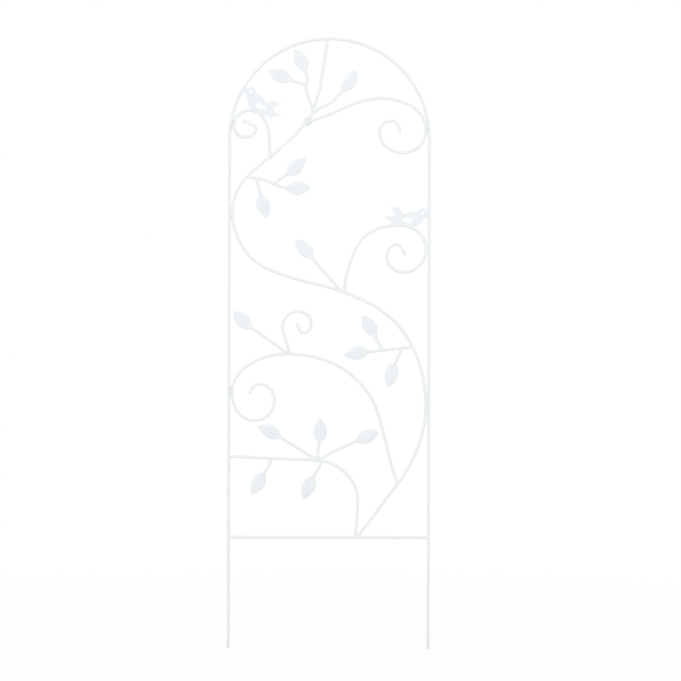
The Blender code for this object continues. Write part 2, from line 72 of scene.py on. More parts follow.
# how fine the meshes are
fine = {
    "sides": 24,  # corners round a rod
    "curve": 60,  # points from one bend to the next
    "fewest": 4,  # steps along the shortest rod
    "turn": math.radians(5),  # most turn from ring to ring
    "sag": 0.00004,  # most that a ring step cuts inside a bend
    "step": 0.05,  # longest step on a straight run
    "capRings": 4,  # rings across a welded end
    "arris": 0.0005,  # taken off the rim of a free end
    "arrisBend": 0.3,  # where between its two edges the arris turns
    "bite": 0.0004,  # how deep a rod's end sinks into the rod that carries it
    "reach": 0.07,  # how far an end may be cut back along a slanting rod
    "cuts": 141,  # places tried within that reach
    "blend": 1.6,  # the cut spreads along the rod by this many times its depth
    "leastBlend": 0.0001,
    "flank": 0.9,  # a line past this share of the carrier is cut as if it ran there
    "tries": 401,  # places tried when a bird or its beak is set
    "merge": 0.000002,
}


# Across runs from -1 at the left leg to 1 at the right leg. Up runs from 0 at the crossbar to 1
# where the arch springs and 2 at its crown.
def place(across, up):
    if up <= 1:
        z = crossbarHeight + up * (springHeight - crossbarHeight)
    else:
        z = springHeight + (up - 1) * hoopRadius
    return np.array([across * hoopRadius, z])


# a place that a rod passes and its heading there in degrees, 0 to the right and 90 up
def bend(across, up, heading):
    return (*place(across, up), heading)


# a place where a stem lies against the inside of the hoop, side -1 for left and 1 for right
def byHoop(side, up, heading):
    z = place(side, up)[1]
    reach = hoopRadius - (hoopRod + rodSizes["stem"]) / 2 - touching
    lift = max(0.0, z - springHeight)
    lean = math.degrees(math.asin(lift / reach))
    return side * math.sqrt(reach ** 2 - lift ** 2), z, heading + side * lean


def towards(degrees):
    return np.array([math.cos(math.radians(degrees)), math.sin(math.radians(degrees))])


# the centre line of a bent rod
class Path:
    def __init__(self, bends):
        points = []
        for (x0, z0, h0), (x1, z1, h1) in zip(bends, bends[1:]):
            start, end = Vector((x0, z0)), Vector((x1, z1))
            # handles of the length that keeps a round bend round
            handle = (end - start).length / (3 * math.cos(math.radians(h1 - h0) / 4) ** 2)
            leave = start + handle * Vector(towards(h0))
            arrive = end - handle * Vector(towards(h1))
            curve = interpolate_bezier(start, leave, arrive, end, fine["curve"])
            points += [tuple(point) for point in curve[:-1]]
        points = np.array(points + [bends[-1][:2]])
        steps = np.diff(points, axis=0)
        along = np.unwrap(np.arctan2(steps[:, 1], steps[:, 0]))
        first, last = math.radians(bends[0][2]), math.radians(bends[-1][2])
        along += 2 * math.pi * round((first - along[0]) / (2 * math.pi))
        headings = np.concatenate([[first], (along[1:] + along[:-1]) / 2, [last]])
        lengths = np.hypot(steps[:, 0], steps[:, 1])
        turns = np.abs(np.diff(headings))
        needed = np.maximum.reduce([
            turns / fine["turn"],
            np.sqrt(lengths * turns / (8 * fine["sag"])),
            lengths / fine["step"],
        ])
        spent = np.concatenate([[0.0], np.cumsum(needed)])
        travelled = np.concatenate([[0.0], np.cumsum(lengths)])
        count = max(fine["fewest"], math.ceil(spent[-1]))
        self.marks = np.interp(np.linspace(0, spent[-1], count + 1), spent, travelled)
        self.x = np.interp(self.marks, travelled, points[:, 0])
        self.z = np.interp(self.marks, travelled, points[:, 1])
        self.heading = np.interp(self.marks, travelled, headings)
        self.length = self.marks[-1]

    def headingAt(self, marks):
        return np.interp(marks, self.marks, self.heading)

    def left(self, marks):
        heading = self.headingAt(marks)
        return np.stack([-np.sin(heading), np.cos(heading)], axis=-1)

    def line(self, marks, offset=0.0):
        axis = [np.interp(marks, self.marks, self.x), np.interp(marks, self.marks, self.z)]
        return np.stack(axis, axis=-1) + np.asarray(offset)[..., None] * self.left(marks)

    # for each place: the gap to the centre line and how far along the rod that is. Only the stretch
    # near one place is searched, if that is given.
    def nearest(self, places, around=None):
        corners = np.stack([self.x, self.z], axis=-1)
        steps = np.diff(corners, axis=0)
        rows = np.arange(len(steps))
        if around is not None:
            middles = corners[:-1] + steps / 2
            away = np.linalg.norm(middles - around, axis=1) - np.linalg.norm(steps, axis=1) / 2
            close = np.flatnonzero(away < 2 * fine["reach"])
            if len(close):
                rows = close
        starts, steps = corners[rows], steps[rows]
        away = np.asarray(places)[:, None] - starts
        share = np.clip((away * steps).sum(axis=2) / (steps ** 2).sum(axis=1), 0, 1)
        gaps = np.linalg.norm(away - share[:, :, None] * steps, axis=2)
        closest = gaps.argmin(axis=1)
        order = np.arange(len(closest))
        found = self.marks[rows[closest]] + share[order, closest] * np.diff(self.marks)[rows[closest]]
        return gaps[order, closest], found

    def foot(self, point):
        return self.line(self.nearest([point])[1])[0]


# Steel and paint

paints = {
    "hoop_paint": {"colour": (0.854, 0.886, 0.901), "rough": 0.36, "peel": 1.0},
    "stem_paint": {"colour": (0.866, 0.893, 0.905), "rough": 0.38, "peel": 1.0},
    "leaf_paint": {"colour": (0.847, 0.883, 0.907), "rough": 0.42, "peel": 0.8},
    "bird_paint": {"colour": (0.845, 0.881, 0.905), "rough": 0.40, "peel": 0.8},
}

# wear and dirt of the coat, and painted shade: the grey at the welds, in the pits and along the midribs
wearAndShade = {
    "thin": (0.985, 0.988, 0.986),  # thin and thick paint, as shares of the coat's own colour
    "thick": (1.012, 1.01, 1.01),
    "patches": (0.35, 0.65),  # values of the pattern between which the change comes on
    "dust": (0.74, 0.75, 0.73),
    "dustAmount": 0.05,
    "specks": (0.60, 0.72),  # values of the grit
    "seam": (0.52, 0.55, 0.57),  # grey weld film, and painted shade in the creases at the welds, in the pits and along the pressed midribs
    "greyAndShadeAmount": 0.22,
    "gaps": (0.3, 0.7),  # values of the grit
    "greyAndShadeLeast": 0.65,  # what the grit leaves of it
    "scuff": (0.42, 0.41, 0.39),
    "scuffAmount": 0.8,
    "scuffHeight": 0.026,  # the leg ends are rubbed below this
    "rubs": (0.55, 0.66),
    "gloss": (0.3, 0.7),  # values of the patches again
    "glossSpread": (0.06, -0.05),  # added to the roughness in thin and in thick paint
    "dulled": 0.3,  # added to it by the grey and by the rubs
    "peelDepth": 0.00002,
    "waveDepth": 0.00006,
    "crustDepth": 0.00035,
    "lacquer": 0.15,
    "lacquerRough": 0.18,
}

# noise patterns of the coat: scale, detail and roughness
patterns = {
    "patches": (22.0, 3.0, 0.6),  # thick and thin paint, a few centimetres apart
    "grit": (420.0, 4.0, 0.7),
    "rubs": (150.0, 5.0, 0.75),
    "peel": (900.0, 1.5, 0.4),  # orange peel
    "waves": (140.0, 2.0, 0.5),  # where the coat ran
    "spatter": (520.0, 3.0, 0.6),  # rough weld metal under the paint
}


def addNode(tree, kind, links=None, **values):
    made = tree.nodes.new("ShaderNode" + kind)
    for name, value in values.items():
        setattr(made, name, value)
    for socket, value in (links or {}).items():
        target = made.inputs[socket]
        if isinstance(value, bpy.types.NodeSocket):
            tree.links.new(value, target)
        else:
            target.default_value = value
    return made


def mixed(tree, amount, low, high):
    return addNode(tree, "Mix", {0: amount, 6: low, 7: high}, data_type="RGBA").outputs[2]


def times(tree, a, b):
    return addNode(tree, "Math", {0: a, 1: b}, operation="MULTIPLY").outputs[0]


def timesPlus(tree, a, b, more):
    return addNode(tree, "Math", {0: a, 1: b, 2: more}, operation="MULTIPLY_ADD").outputs[0]


# a value taken from one range to another, and held at its ends
def ranged(tree, value, before, after):
    return addNode(tree, "MapRange", dict(enumerate([value, *before, *after]))).outputs[0]


def noise(tree, where, pattern):
    scale, detail, roughness = patterns[pattern]
    links = {"Vector": where, "Scale": scale, "Detail": detail, "Roughness": roughness}
    return addNode(tree, "TexNoise", links).outputs[0]


def raised(tree, height, depth, under=None):
    links = {"Strength": 1.0, "Distance": depth, "Height": height}
    if under is not None:
        links["Normal"] = under
    return addNode(tree, "Bump", links).outputs[0]


def stovedPaint(name, look):
    paint = bpy.data.materials.new(name)
    paint.use_nodes = True
    tree = paint.node_tree
    shader = tree.nodes["Principled BSDF"]
    where = addNode(tree, "TexCoord").outputs["Object"]
    patches, grit, rubs, peel, waves, spatter = [noise(tree, where, pattern) for pattern in patterns]

    thin = [part * share for part, share in zip(look["colour"], wearAndShade["thin"])]
    thick = [part * share for part, share in zip(look["colour"], wearAndShade["thick"])]
    base = mixed(tree, ranged(tree, patches, wearAndShade["patches"], (0.0, 1.0)), (*thin, 1), (*thick, 1))

    # dust caught in the paint
    dust = ranged(tree, grit, wearAndShade["specks"], (0.0, wearAndShade["dustAmount"]))
    base = mixed(tree, dust, base, (*wearAndShade["dust"], 1))

    # grey weld film and painted shade at the welds, painted shade in the pits and in the pressed lines,
    # broken up by the grit
    seam = addNode(tree, "Attribute", attribute_name="seam").outputs["Fac"]
    broken = ranged(tree, grit, wearAndShade["gaps"], (wearAndShade["greyAndShadeLeast"], 1.0))
    film = times(tree, times(tree, seam, broken), wearAndShade["greyAndShadeAmount"])
    base = mixed(tree, film, base, (*wearAndShade["seam"], 1))

    # rubbed leg ends
    height = addNode(tree, "SeparateXYZ", {0: where}).outputs[2]
    low = ranged(tree, height, (wearAndShade["scuffHeight"], 0.0), (0.0, 1.0))
    scuff = times(tree, low, ranged(tree, rubs, wearAndShade["rubs"], (0.0, wearAndShade["scuffAmount"])))
    base = mixed(tree, scuff, base, (*wearAndShade["scuff"], 1))
    tree.links.new(base, shader.inputs["Base Color"])

    # gloss varies with the patches and is lost in the grey film, in the painted shade and in the rubs
    spread = [look["rough"] + more for more in wearAndShade["glossSpread"]]
    glossy = ranged(tree, patches, wearAndShade["gloss"], spread)
    rough = timesPlus(tree, scuff, wearAndShade["dulled"], timesPlus(tree, film, wearAndShade["dulled"], glossy))
    tree.links.new(rough, shader.inputs["Roughness"])

    bump = raised(tree, peel, wearAndShade["peelDepth"] * look["peel"])
    bump = raised(tree, waves, wearAndShade["waveDepth"], bump)
    bump = raised(tree, times(tree, spatter, seam), wearAndShade["crustDepth"], bump)
    tree.links.new(bump, shader.inputs["Normal"])
    shader.inputs["Coat Weight"].default_value = wearAndShade["lacquer"]
    shader.inputs["Coat Roughness"].default_value = wearAndShade["lacquerRough"]
    paint.diffuse_color = (*look["colour"], 1)
    return paint


finishes = {name: stovedPaint(name, look) for name, look in paints.items()}
print("paint mixed:", len(finishes), "coats")


# Meshes

squareOn = 0.999  # a plate's flat sides look along Y at least as nearly as this
sharpFrom = {"rod": 40, "sheet": 50, "weld": 60}  # edges that turn by more than this show as edges


# a piece is named after its node
def pieceName(node):
    first, *rest = node.split("_")
    return first + "".join(word.capitalize() for word in rest)


def addObject(name, data):
    made = bpy.data.objects.new(name, data)
    bpy.context.scene.collection.objects.link(made)
    return made


def finishPiece(name, vertices, faces, slot, replaced=None, kind="rod", film=None, plate=False):
    mesh = bpy.data.meshes.new(name)
    mesh.from_pydata([tuple(map(float, v)) for v in vertices], [], faces)
    work = bmesh.new()
    work.from_mesh(mesh)
    bmesh.ops.recalc_face_normals(work, faces=work.faces)
    work.to_mesh(mesh)
    work.free()
    mesh.shade_smooth()
    mesh.set_sharp_from_angle(angle=math.radians(sharpFrom[kind]))
    if plate:  # its two flat sides
        for face in mesh.polygons:
            face.use_smooth = abs(face.normal.y) < squareOn
    mesh.materials.append(finishes[slot])
    seam = mesh.attributes.new("seam", "FLOAT", "POINT")
    if film is not None:
        seam.data.foreach_set("value", np.asarray(film, dtype=np.float32))
    piece = addObject(name, mesh)
    if replaced:
        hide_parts(replaced)
    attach(piece, "root")


def betweenLoops(a, b):
    return [[a[i - 1], a[i], b[i], b[i - 1]] for i in range(len(a))]


def skin(loops):
    return sum((betweenLoops(a, b) for a, b in zip(loops, loops[1:])), [])


def fan(loop, tip):
    return [[a, b, tip] for a, b in zip(loop, loop[1:] + loop[:1])]


# how much must go before what is left is clear of every carrier
def clearLength(lengths, room):
    blocked = np.flatnonzero(room < 0)
    if len(blocked) == 0 or blocked[-1] == len(lengths) - 1:
        return lengths[0]
    last = blocked[-1]
    return np.interp(0, room[last:last + 2], lengths[last:last + 2])


# how much is cut from a rod's end so that it just bites into its carriers, along lines beside its axis
def endCuts(path, lines, carriers, fromStart):
    lengths = np.linspace(0, min(fine["reach"], path.length / 2), fine["cuts"])
    marks = lengths if fromStart else path.length - lengths
    around = path.line(marks[0])
    cuts = []
    for offset, depth in lines:
        places = path.line(marks, offset)
        room = np.full(len(lengths), np.inf)
        for carrier in carriers:
            reach = carrier["thickness"] / 2 - fine["bite"]
            gap = carrier["path"].nearest(places, around)[0]
            room = np.minimum(room, np.hypot(gap, min(abs(depth), fine["flank"] * reach)) - reach)
        cuts.append(clearLength(lengths, room))
    return np.array(cuts)


weld = {
    "leg": 0.0021,  # how far the bead reaches along each rod
    "wobble": [(0.18, 2, 1), (0.12, 5, 2)],  # how unevenly: share, waves round the rod and where they start
    "swell": 0.00035,  # how proud of a straight fillet it stands
    "hollow": 0.28,  # how hollow it is without the swell, as a share of its throat
    "ripples": 9,
    "ripple": 0.00022,  # their height
    "corners": 36,  # steps round the rod
    "profile": 5,  # and from the rod to its carrier
    "overlap": 0.00005,  # how deep its edges lie in the rods
    "root": 0.0008,  # how deep its back lies in the carrier
    "rootInRod": (0.5, 0.8),  # and in the rod, as shares of the leg and of the radius
    "lumpRings": 26,
    "lumpCorners": 28,
    "lumpRipple": 0.07,
    "film": 0.3,  # grey film on weld metal, and painted shade where the weld meets the rods
    "pits": [(-0.209, 1.200), (-0.188, 1.164), (-0.411, 0.463)],  # where shade is painted dark in the deep hollows between rods
    "pitShade": 3.0,
    "pitReach": 0.0019,
    "pitRings": 6,  # rings that a rod gets to each side of a pit
    "pitStep": 0.0008,
}
weldMeshes = {"hoop_welds": [], "stem_welds": [], "leaf_welds": [], "bird_welds": []}
rods = {}


# the places along a rod that need rings for the painted shade in the pits there
def pitMarks(path):
    marks = []
    for pit in weld["pits"]:
        gap, found = path.nearest([place(*pit)])
        if gap[0] < rodSizes["stem"]:
            rings = np.arange(-weld["pitRings"], weld["pitRings"] + 1)
            marks += [mark for mark in found[0] + rings * weld["pitStep"] if 0 < mark < path.length]
    return marks


# how much grey film and painted shade lies at each vertex: what is given, or more painted shade in the pits
def filmAndShadeAt(vertices, given):
    places = np.array([(x, z) for x, y, z in vertices])
    film = np.zeros(len(places)) + given
    for pit in weld["pits"]:
        gap = np.linalg.norm(places - place(*pit), axis=1)
        # painted shade, darkest in the middle of each pit
        film = np.maximum(film, weld["pitShade"] * np.exp(-(gap / weld["pitReach"]) ** 2))
    return film


# a round rod. Its free ends are cut flat with the arris taken off, and its welded ends are hollowed.
def makeRod(rod):
    path, radius, sides = rod["path"], rod["thickness"] / 2, fine["sides"]
    carriers = [rods[name] for name in rod.get("weldedTo", [])]
    angles = 2 * math.pi * np.arange(sides) / sides
    rim = radius * np.stack([np.cos(angles), np.sin(angles)], axis=-1)
    shares = np.arange(fine["capRings"] - 1, 0, -1) / fine["capRings"]
    cap = np.concatenate([rim * share for share in shares] + [[(0.0, 0.0)]])
    first = endCuts(path, [*rim, *cap], carriers, True)
    final = endCuts(path, [*rim, *cap], carriers, False)
    firstBlend = max(fine["blend"] * first.max(), fine["leastBlend"])
    finalBlend = max(fine["blend"] * final.max(), fine["leastBlend"])
    arris = fine["arris"]
    turn = arris * fine["arrisBend"]
    marks = sorted(set(path.marks) | set(pitMarks(path)))
    narrow = [1.0] * len(marks)
    bevel = [1 - arris / radius, 1 - turn / radius]
    if np.ptp(first) == 0:
        marks[1:1] = [turn, arris]
        narrow = bevel + narrow
    if np.ptp(final) == 0:
        marks[-1:-1] = [path.length - arris, path.length - turn]
        narrow += bevel[::-1]
    vertices = []
    for mark, slim in zip(marks, narrow):
        nearFirst = max(0.0, 1 - mark / firstBlend)
        nearFinal = max(0.0, 1 - (path.length - mark) / finalBlend)
        at = mark + first[:sides] * nearFirst - final[:sides] * nearFinal
        spots = path.line(at, rim[:, 0] * slim)
        vertices += [(x, depth * slim, z) for (x, z), depth in zip(spots, rim[:, 1])]
    loops = np.arange(len(vertices)).reshape(-1, sides).tolist()
    faces = skin(loops)
    for edge, ends in ((loops[0], first), (loops[-1], path.length - final)):
        if np.ptp(ends) == 0:
            faces.append(edge)
            continue
        inner = np.arange(len(vertices), len(vertices) + len(cap)).tolist()
        spots = path.line(ends[sides:], cap[:, 0])
        vertices += [(x, depth, z) for (x, z), depth in zip(spots, cap[:, 1])]
        rings = [edge] + [inner[i * sides:(i + 1) * sides] for i in range(fine["capRings"] - 1)]
        faces += skin(rings) + fan(rings[-1], inner[-1])
    film = filmAndShadeAt(vertices, 0.0)
    finishPiece(pieceName(rod["node"]), vertices, faces, rod["slot"], rod["node"], film=film)
    for ends, fromStart in ((first, True), (final, False)):
        if np.ptp(ends) > 0:
            weldCollar(rod, carriers, fromStart)


def addWeld(group, vertices, ends, film=weld["film"]):
    weldMeshes[group].append((vertices, ends, film))


# the bead round a rod's end, laid from the rod's own surface to the surface of what carries it
def weldCollar(rod, carriers, fromStart):
    path, radius = rod["path"], rod["thickness"] / 2
    leg, overlap = weld["leg"], weld["overlap"]
    rootLeg, rootRadius = weld["rootInRod"]
    angles = 2 * math.pi * np.arange(weld["corners"]) / weld["corners"]
    unit = np.stack([np.cos(angles), np.sin(angles)], axis=-1)
    near = endCuts(path, unit * radius, carriers, fromStart)
    wide = endCuts(path, unit * (radius + leg), carriers, fromStart)
    sign, base = (1, 0.0) if fromStart else (-1, path.length)
    around = path.line(base)
    phase = random.uniform(0, 2 * math.pi)

    def spot(i, distance, reach):
        x, z = path.line(base + sign * distance, unit[i, 0] * reach)
        return np.array([x, unit[i, 1] * reach, z])

    vertices = []
    for i, angle in enumerate(angles):
        wobble = 1 + sum(share * math.sin(waves * angle + start * phase)
                         for share, waves, start in weld["wobble"])
        onRod = spot(i, near[i] + leg * wobble, radius - overlap)
        inRod = spot(i, near[i] + leg * wobble * rootLeg, radius * rootRadius)
        ideal = spot(i, wide[i], radius + leg * wobble)
        carrier, away = closestCarrier(ideal, carriers, around)
        out = away / np.linalg.norm(away)
        onCarrier = ideal - away + out * (carrier["thickness"] / 2 - overlap)
        inCarrier = onCarrier - out * weld["root"]
        ripple = weld["ripple"] * math.sin(weld["ripples"] * angle + phase)
        bead = beadProfile(spot(i, near[i], radius), onRod, onCarrier, weld["swell"] + ripple)
        ring = [inRod, *bead, inCarrier]
        vertices.append([(x, max(-deepest, min(deepest, y)), z) for x, y, z in ring])
    addWeld(rod["welds"], vertices, None)


# from the rod to its carrier, bowed away from the corner between them by the swell
def beadProfile(corner, onRod, onCarrier, swell):
    throat = (onRod + onCarrier) / 2 - corner
    size = np.linalg.norm(throat)
    bow = swell - size * weld["hollow"]
    line = []
    for step in range(weld["profile"] + 1):
        t = step / weld["profile"]
        line.append(onRod * (1 - t) + onCarrier * t + throat / size * bow * 4 * t * (1 - t))
    return line


# the carrier whose surface is nearest, and the way to the point from its centre line
def closestCarrier(point, carriers, around):
    best = None
    for carrier in carriers:
        mark = carrier["path"].nearest([point[[0, 2]]], around)[1]
        x, z = carrier["path"].line(mark)[0]
        away = point - np.array([x, 0.0, z])
        room = np.linalg.norm(away) - carrier["thickness"] / 2
        if best is None or room < best[0]:
            best = (room, carrier, away)
    return best[1], best[2]


# a lump of weld metal: rings along a line in the panel's plane, pointed at both ends
def weldLump(group, centre, heading, length, width, depth, ripples=0, setBack=0.0, film=weld["film"]):
    ahead, side = towards(heading), towards(heading + 90)
    stations, corners = weld["lumpRings"], weld["lumpCorners"]
    phase = random.uniform(0, 2 * math.pi)
    vertices = []
    for station in range(1, stations):
        t = -math.cos(math.pi * station / stations)
        girth = math.sqrt(1 - t * t)
        girth *= 1 + weld["lumpRipple"] * math.sin(ripples * math.pi * t + phase)
        ring = []
        for corner in range(corners):
            angle = 2 * math.pi * corner / corners
            across = width / 2 * girth * math.cos(angle)
            y = depth / 2 * girth * math.sin(angle) + setBack
            x, z = centre + ahead * t * length / 2 + side * across
            ring.append((x, max(-deepest, min(deepest, y)), z))
        vertices.append(ring)
    tips = [(*(centre + ahead * length / 2 * end), setBack) for end in (-1, 1)]
    addWeld(group, vertices, tips, film)


def finishWelds(group, slot):
    vertices, faces, filmsAndShade = [], [], []
    for rings, ends, film in weldMeshes[group]:  # a collar has no ends, and its last ring meets the first
        count, size = len(vertices), len(rings[0])
        vertices += [corner for ring in rings for corner in ring]
        loops = [[count + i * size + k for k in range(size)] for i in range(len(rings))]
        faces += skin(loops)
        if ends is None:
            faces += betweenLoops(loops[-1], loops[0])
        else:
            for loop, (x, z, y) in zip((loops[0], loops[-1]), ends):
                tip = len(vertices)
                vertices.append((x, y, z))
                faces += fan(loop, tip)
        filmsAndShade += [film] * (len(vertices) - count)
    finishPiece(group, vertices, faces, slot, kind="weld", film=filmAndShadeAt(vertices, filmsAndShade))
    print(group, "laid:", len(weldMeshes[group]))


# The frame

frameHoop = {
    "node": "frame_hoop",
    "slot": "hoop_paint",
    "thickness": rodSizes["hoop"],
    "bends": [
        (-hoopRadius, 0.0, 90),
        bend(-1, 1, 90),
        bend(0, 2, 0),
        bend(1, 1, -90),
        (hoopRadius, 0.0, -90),
    ],
}
lowerCrossbar = {
    "node": "lower_crossbar",
    "slot": "hoop_paint",
    "welds": "hoop_welds",
    "thickness": rodSizes["bar"],
    "weldedTo": ["frame_hoop"],
    "bends": [bend(-1, 0, 0), bend(1, 0, 0)],
}


def bendRod(rod):
    rod["path"] = Path(rod["bends"])
    rods[rod["node"]] = rod
    makeRod(rod)


bendRod(frameHoop)
bendRod(lowerCrossbar)
print("hoop and crossbar bent")


# The winding stem and its scrolls, from the crossbar up

mainStem = {
    "node": "main_stem",
    "weldedTo": ["lower_crossbar", "frame_hoop"],
    "bends": [
        bend(0.284, 0, 51), bend(0.641, 0.118, 51), byHoop(1, 0.331, 90), bend(0.828, 0.483, 118),
        bend(0.587, 0.558, 140), bend(0.154, 0.615, 158), bend(-0.254, 0.643, 165),
        bend(-0.651, 0.678, 154), bend(-0.847, 0.721, 124), byHoop(-1, 0.811, 90),
        bend(-0.857, 0.896, 51), bend(-0.596, 0.954, 38.5), bend(-0.295, 1.097, 46),
        bend(-0.132, 1.387, 70.5), bend(-0.068, 1.686, 81), bend(-0.024, 2, 84),
    ],
}
bottomStem = {
    "node": "bottom_stem",
    "weldedTo": ["lower_crossbar", "main_stem", "frame_hoop"],
    "bends": [
        bend(0.268, 0, 86), bend(0.293, 0.093, 90), bend(0.196, 0.155, 133), bend(0.021, 0.186, 158),
        bend(-0.104, 0.193, 175), bend(-0.478, 0.197, 177), bend(-1, 0.203, 177),
    ],
}
upperRightScroll = {
    "node": "upper_right_scroll",
    "weldedTo": ["main_stem"],
    "bends": [
        bend(-0.231, 1.162, 20), bend(0.055, 1.269, 26), bend(0.509, 1.407, 1), bend(0.812, 1.334, -29),
        byHoop(1, 1.117, -90), bend(0.734, 0.965, -180), bend(0.499, 1.072, -270),
        bend(0.620, 1.181, -360), bend(0.706, 1.058, -445),
    ],
}
upperLeftScroll = {
    "node": "upper_left_scroll",
    "weldedTo": ["main_stem"],
    "bends": [
        bend(-0.599, 0.953, 92), bend(-0.604, 1.037, 95), bend(-0.801, 1.283, 180),
        byHoop(-1, 1.142, 270), bend(-0.841, 1.013, 360), bend(-0.737, 1.097, 450),
        bend(-0.801, 1.151, 512), bend(-0.866, 1.179, 518),
    ],
}
midRightScroll = {
    "node": "mid_right_scroll",
    "weldedTo": ["main_stem"],
    "bends": [
        bend(0.153, 0.616, 88), bend(0.207, 0.688, 71), bend(0.311, 0.743, 53), bend(0.700, 0.784, 0),
        byHoop(1, 0.724, -90), bend(0.747, 0.666, -180), bend(0.575, 0.705, -270),
        bend(0.669, 0.735, -360), bend(0.758, 0.709, -430),
    ],
}
lowerArchScroll = {
    "node": "lower_arch_scroll",
    "weldedTo": ["main_stem"],
    "bends": [
        bend(0.691, 0.135, 110), bend(0.592, 0.218, 103.5), bend(0.482, 0.319, 108),
        bend(0.212, 0.410, 140), bend(-0.380, 0.460, 178), bend(-0.775, 0.437, 211),
        byHoop(-1, 0.364, 270), bend(-0.746, 0.293, 360), bend(-0.543, 0.344, 450),
        bend(-0.698, 0.384, 540), bend(-0.785, 0.359, 625),
    ],
}
smallScroll = {
    "node": "small_scroll",
    "weldedTo": ["lower_arch_scroll"],
    "bends": [
        bend(-0.390, 0.461, 107), bend(-0.440, 0.500, 108), bend(-0.463, 0.530, 90),
        bend(-0.316, 0.567, 0), bend(-0.179, 0.536, -90), bend(-0.252, 0.513, -180),
        bend(-0.319, 0.538, -260),
    ],
}
for stem in (mainStem, bottomStem, upperRightScroll, upperLeftScroll, midRightScroll, lowerArchScroll,
             smallScroll):
    stem.update(slot="stem_paint", welds="stem_welds", thickness=rodSizes["stem"])
    bendRod(stem)
print("stem and scrolls bent")

# where a stem or a scroll lies against the hoop, a bead fills the groove, at some from behind only
sideWelds = {
    "filled": {"at": [(1, 0.331), (-1, 0.811), (1, 0.724)], "depth": 0.0073, "setBack": 0.0},
    "behind": {"at": [(1, 1.117), (-1, 1.142), (-1, 0.364)], "depth": 0.0042, "setBack": 0.0012},
    "length": 0.024,
    "width": 0.0060,
    "ripples": 5,
}


def weldSides(kind):
    for side, up in kind["at"]:
        x, z, heading = byHoop(side, up, 90)
        inner = np.array([x, z])
        outer = frameHoop["path"].foot(inner)
        middle = inner + (outer - inner) * rodSizes["stem"] / (rodSizes["stem"] + hoopRod)
        weldLump("hoop_welds", middle, heading, sideWelds["length"], sideWelds["width"], kind["depth"],
                 sideWelds["ripples"], kind["setBack"])


weldSides(sideWelds["filled"])
weldSides(sideWelds["behind"])

# weld metal heaped in the forks: place, heading, length, width, and the grey film with painted shade in the
# crowded fork
heaps = {
    "at": [
        (-0.219, 1.171, 50, 0.0225, 0.0205, 0.9),
        (-0.110, 0.1965, 85, 0.0155, 0.0150, 1.1),
        (-0.589, 0.957, 92, 0.0180, 0.0098, 0.5),
        (-0.958, 1.200, 80, 0.0100, 0.0090, 0.5),
        (0.285, 0.007, 0, 0.0110, 0.0080, 0.3),
        (0.692, 0.136, 52, 0.0130, 0.0085, 0.5),
    ],
    "depth": 0.0075,
    "ripples": 3,
}
for across, up, heading, length, width, film in heaps["at"]:
    weldLump("stem_welds", place(across, up), heading, length, width, heaps["depth"], heaps["ripples"],
             film=film)


# Leaves

leaf = {
    "length": 0.062,
    "width": 0.0328,
    "sheet": 0.0015,
    "dome": 0.0020,  # how far the middle is pressed forwards
    "puff": 0.0005,  # how far each half stands up between the midrib and the rim
    "neck": 0.007,
    "neckRun": 0.25,  # the neck's own width is gone at this share of the leaf
    "drawn": 0.010,  # the neck is round like the twig, and flattens over this length
    "tip": 0.0012,
    "swell": 0.72,  # how quickly the leaf widens from its neck
    "taper": 0.93,  # and how it draws in to its tip
    "edge": 0.0006,  # rounding of the cut edge
    "blunt": 0.0003,  # the rounding at the neck and tip starts this far in
    "thinnest": 0.2,  # what is left of the sheet at the rim
    "midrib": (0.00045, 0.0010),  # depth and half width of the pressed midrib
    "midribFade": (14, 7),  # how quickly it comes up from the neck and dies at the tip
    "veins": 5,
    "vein": (0.00014, 0.0007),
    "veinStart": 0.07,
    "veinSpacing": 0.145,
    "veinRise": (0.21, 0.85),  # how far a vein runs forwards on its way to the rim, and its bow
    "veinSlant": 0.8,
    "veinFade": (5, 6),  # it dies near the rim and near the tip
    # painted shade in the pressed midrib, on the front and, less, on the back
    "creaseShade": 0.2,
    "backShade": 0.6,  # the share of that on the back
    "bends": 12,  # straight steps in the midrib
    "stations": 57,
    "columns": 27,
}


# the midrib's line from the neck, at even steps, and its heading there
def leafMidrib(heading, sweep, stations):
    steps = leaf["bends"]
    ways = heading + sweep * np.arange(steps + 1) / steps
    line = np.zeros((steps + 1, 2))
    for step in range(steps):
        line[step + 1] = line[step] + leaf["length"] / steps * towards(ways[step + 1])
    share = np.linspace(0, steps, stations)
    index = np.arange(steps + 1)
    middle = np.stack([np.interp(share, index, part) for part in line.T], axis=-1)
    return middle, np.interp(share, index, ways)


def leafHalfWidth(along):
    swell, taper = leaf["swell"], leaf["taper"]
    widest = swell / (swell + taper)
    fullest = widest ** swell * (1 - widest) ** taper
    half = leaf["width"] / 2 * along ** swell * (1 - along) ** taper / fullest
    return max(half, leaf["tip"] / 2, (1 - along / leaf["neckRun"]) * leaf["neck"] / 2)


# how deep the midrib and the side veins are pressed at a spot, and how much painted shade lies in the
# midrib there
def pressed(along, side, half):
    depth, halfWidth = leaf["midrib"]
    fromNeck, toTip = leaf["midribFade"]
    fade = min(1.0, along * fromNeck) * min(1.0, (1 - along) * toTip)
    midrib = math.exp(-(side * half / halfWidth) ** 2) * fade
    veinDepth, veinWidth = leaf["vein"]
    rise, bow = leaf["veinRise"]
    toRim, toTip = leaf["veinFade"]
    vein = 0.0
    for number in range(leaf["veins"]):
        line = leaf["veinStart"] + leaf["veinSpacing"] * number + rise * abs(side) ** bow
        away = (along - line) * leaf["length"] * leaf["veinSlant"]
        vein = max(vein, math.exp(-(away / veinWidth) ** 2))
    vein *= (1 - abs(side) ** toRim) * min(1.0, (1 - along) * toTip)
    return depth * midrib + veinDepth * vein * (1 - midrib), midrib * leaf["creaseShade"]


